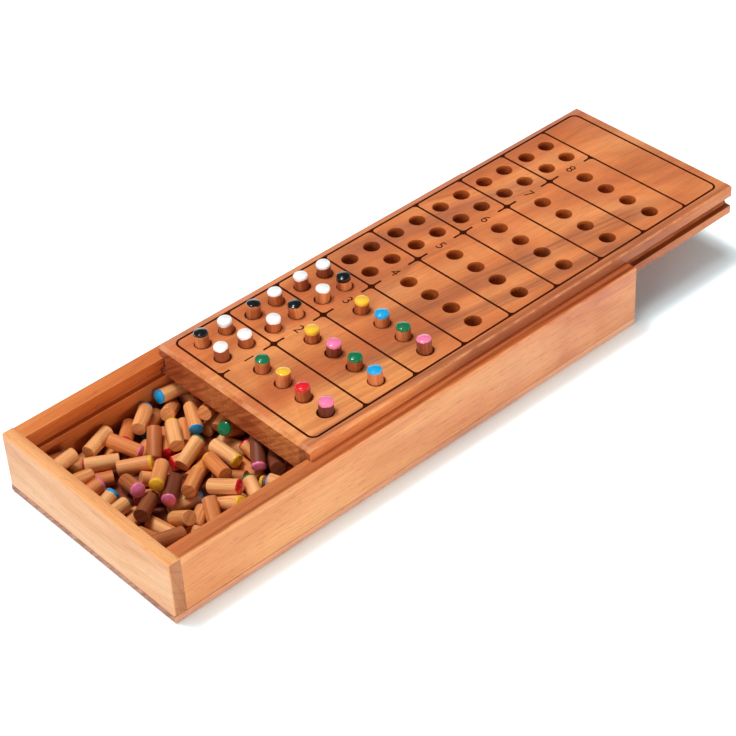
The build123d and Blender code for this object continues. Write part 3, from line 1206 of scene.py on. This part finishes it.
@dataclass
class Studio:
    """A pale floor, a white surround and four lamps.

    floor_shown is the floor's colour where the camera sees it, so that it goes white but for
    the object's shadow, which the touch of blue keeps grey under the warm light that the wood
    throws. floor_lit is the colour that throws light back on the object. haze_low and haze_high
    are the heights, as the sine of the elevation, between which the white seen near the horizon
    gives way to the plain sky.
    """

    floor_side: float = 8.0
    floor_drop: float = 0.05 * MM
    floor_shown: Colour = (1.10, 1.25, 1.29, 1.0)
    floor_lit: Colour = (0.60, 0.60, 0.60, 1.0)
    sky: float = 0.12
    haze_low: float = 0.15
    haze_high: float = 0.35
    lamps: tuple[Lamp, ...] = (
        Lamp("key_lamp", (-0.12, 0.27, 0.95), 10.0, 0.36, mirrored=True),
        Lamp("soft_lamp", (-0.10, 0.21, 0.96), 34.0, 0.48),
        Lamp("left_lamp", (-0.95, -0.15, 0.24), 40.0, 0.58),
        Lamp("front_lamp", (0.02, -0.98, 0.13), 20.0, 0.66),
    )

    def _floor(self) -> None:
        """Lays the floor, a plain sheet."""
        half = self.floor_side / 2
        low = -self.floor_drop
        corners = [(-half, -half, low), (half, -half, low), (half, half, low), (-half, half, low)]
        mesh = bpy.data.meshes.new("floor")
        mesh.from_pydata(corners, [], [(0, 1, 2, 3)])
        material, graph = new_graph("pale_floor")
        lit = graph.node("ShaderNodeBsdfDiffuse", inputs={"Color": self.floor_lit})
        shown = graph.node("ShaderNodeBsdfDiffuse", inputs={"Color": self.floor_shown})
        mixed = graph.node("ShaderNodeMixShader", inputs={0: self._seen(graph), 1: lit, 2: shown})
        graph.node("ShaderNodeOutputMaterial", inputs={"Surface": mixed})
        floor = add_object("floor", mesh, material)

    @staticmethod
    def _seen(graph: Graph) -> Wire:
        """Is 1 for rays from the camera and for mirrored or refracted ones."""
        camera = graph.node("ShaderNodeLightPath", output="Is Camera Ray")
        outputs = camera.socket.node.outputs
        mirrored, through = (
            Wire(graph, outputs[name]) for name in ("Is Glossy Ray", "Is Transmission Ray")
        )
        inputs = {0: camera + mirrored + through, 1: 1.0}
        return graph.node("ShaderNodeMath", {"operation": "MINIMUM"}, inputs)

    def _surround(self) -> None:
        """Surrounds the table with light, and with white near the horizon where it is seen."""
        world = bpy.data.worlds.new("surround")
        world.use_nodes = True
        bpy.context.scene.world = world
        graph = Graph(world.node_tree)
        sky = {"Color": (1, 1, 1, 1), "Strength": self.sky}
        dim = graph.node("ShaderNodeBackground", inputs=sky)
        white = graph.node("ShaderNodeBackground", inputs=dict(sky, Strength=1.0))
        height = graph.split(graph.node("ShaderNodeTexCoord", output="Generated"))[2]
        shown = self._seen(graph) * (1 - graph.spread(height, self.haze_low, self.haze_high))
        mixed = graph.node("ShaderNodeMixShader", inputs={0: shown, 1: dim, 2: white})
        graph.node("ShaderNodeOutputWorld", inputs={"Surface": mixed})

    def build(self) -> None:
        """Makes the floor, the surround and the lamps."""
        bpy.context.scene.view_settings.view_transform = "Standard"
        self._floor()
        self._surround()
        for lamp in self.lamps:
            lamp.build()


CASE_WOOD = dict(
    pale=screen_colour(246, 186, 129),
    middle=screen_colour(240, 172, 113),
    dark=screen_colour(226, 150, 93),
    streak=screen_colour(206, 116, 66),
    end_shade=(0.56, 0.46, 0.42, 1.0),
    # The top and inner shades here are painted shade, on faces that point up and on the case's inside.
    painted_top_shade=(0.79, 0.50, 0.29, 1.0),
    painted_recess_shade=(0.66, 0.34, 0.18, 1.0),
    streak_strength=0.55,
)
# Paler than the other walls' wood: painted light on the left end wall, which faces the left lamp.
LIT_LEFT_WOOD = dict(
    pale=screen_colour(244, 194, 149),
    middle=screen_colour(240, 183, 132),
    dark=screen_colour(230, 163, 112),
    streak=screen_colour(220, 144, 92),
    end_shade=(0.60, 0.48, 0.44, 1.0),
    painted_top_shade=(1.0, 0.86, 0.68, 1.0),
    end_lines=(0.88, 0.80, 0.74, 1.0),
    painted_recess_shade=(0.55, 0.26, 0.13, 1.0),
    streak_strength=0.3,
)

BASE_WOOD = dict(
    pale=screen_colour(236, 176, 138),
    middle=screen_colour(226, 162, 124),
    dark=screen_colour(206, 142, 110),
    streak=screen_colour(184, 122, 94),
    end_shade=(0.70, 0.76, 0.95, 1.0),
    # Painted shade on the base's top, inside the case between the pegs.
    painted_recess_shade=(0.40, 0.23, 0.18, 1.0),
)


@dataclass
class GameCase:
    """The case: floor, end walls, side walls and divider."""

    skin: Triple = (1 * MM, 1 * MM, 3 * MM)

    def _planks(self) -> list[Plank]:
        """Lists the planks with the wood of each, sawn from different trees. The left end wall's paler
        wood is painted light.
        """
        side = dict(CASE_WOOD, grain=Grain.ALONG_X)
        end = dict(CASE_WOOD, grain=Grain.ALONG_Y)
        left = dict(LIT_LEFT_WOOD, grain=Grain.ALONG_Y)
        base = dict(side, **BASE_WOOD)
        bands = (
            # Painted shade: this broad band darkens the near wall towards its right end.
            Streak((-60, -48), (250, -48), 40.0, 0.9, screen_colour(205, 124, 92), fade=150.0),
            Streak((-150, -46.2), (160, -46.2), 3.8, 0.8, screen_colour(186, 122, 94)),
            Streak((-130, -49.7), (160, -48.4), 1.1, 0.9, screen_colour(132, 76, 52)),
        )
        near = dict(side, bands=bands)
        woods = {
            "base_panel": WoodFinish("base_wood", heart=(60, -80), seed=1.3, **base),
            "near_side_wall": WoodFinish("near_wall_wood", heart=(-120, 6), seed=2.7, **near),
            "far_side_wall": WoodFinish("far_wall_wood", heart=(110, -10), seed=5.1, **side),
            "left_end_wall": WoodFinish("lit_left_wall_wood", heart=(-190, 2), seed=7.9, **left),
            "right_end_wall": WoodFinish("right_wall_wood", heart=(190, 10), seed=9.4, **end),
            "divider": WoodFinish("divider_wood", heart=(40, 60), seed=11.2, **end),
        }
        inward = {
            "base_panel": (0.0, 0.0, 1.0),
            "near_side_wall": (0.0, 1.0, 0.0),
            "far_side_wall": (0.0, -1.0, 0.0),
            "left_end_wall": (1.0, 0.0, 0.0),
        }
        return [
            Plank(node, "case", "case_wood", wood, self.skin, inward=inward.get(node, NOWHERE))
            for node, wood in woods.items()
        ]

    def build(self) -> None:
        """Makes every plank of the case."""
        for plank in self._planks():
            plank.build()


UMBER = screen_colour(150, 82, 54)
DUSK = screen_colour(166, 98, 70)
HONEY = screen_colour(244, 168, 100)


@dataclass
class Board:
    """The sliding board with its marks."""

    rounding: float = 0.25 * MM
    skin: Triple = (3 * MM, 1 * MM, 0.4 * MM)
    wood: WoodFinish = WoodFinish(
        "board_wood_finish",
        Grain.ALONG_X,
        pale=screen_colour(232, 148, 90),
        middle=screen_colour(216, 126, 72),
        dark=screen_colour(194, 106, 62),
        streak=screen_colour(150, 84, 54),
        heart=(-14, -120),
        ring=7.0,
        slant=-0.09,
        streak_strength=0.45,
        bands=(
            Streak((-90, -30), (34, -34), 16.0, 0.8, HONEY),
            Streak((20, 43), (150, 13), 7.0, 0.75, DUSK),
            Streak((4, -5), (170, -33), 7.0, 0.75, UMBER),
            Streak((-34, -18), (150, -42), 5.0, 0.75, UMBER),
            Streak((-80, -40), (70, -46), 2.8, 0.85, UMBER),
            Streak((-90, 44), (220, 45), 4.0, 0.8, screen_colour(206, 138, 110)),
            Streak((-10, -45), (230, -44.5), 4.2, 0.8, UMBER),
            Streak((-90, 10), (20, 4), 14.0, 0.5, HONEY),
        ),
        end_shade=(0.70, 0.60, 0.56, 1.0),
        # Painted shade in the holes and the side grooves.
        painted_recess_shade=(0.68, 0.50, 0.30, 1.0),
        seed=3.3,
        gloss=0.4,
    )

    def build(self) -> None:
        """Makes the board, its lines and its numbers."""
        Plank("peg_board", "board", "board_wood", self.wood, self.skin, self.rounding).build()
        BoardMarks(InkFinish("line_ink")).build()


def main() -> None:
    """Builds the case, the board, the pegs, the light and the camera in order."""
    logging.basicConfig(level=logging.INFO, format="%(message)s")
    for sub_assembly in (GameCase(), Board(), Pegs(), Studio(), View()):
        LOG.info("building %s", type(sub_assembly).__name__)
        sub_assembly.build()


if __name__ == "__main__":
    main()
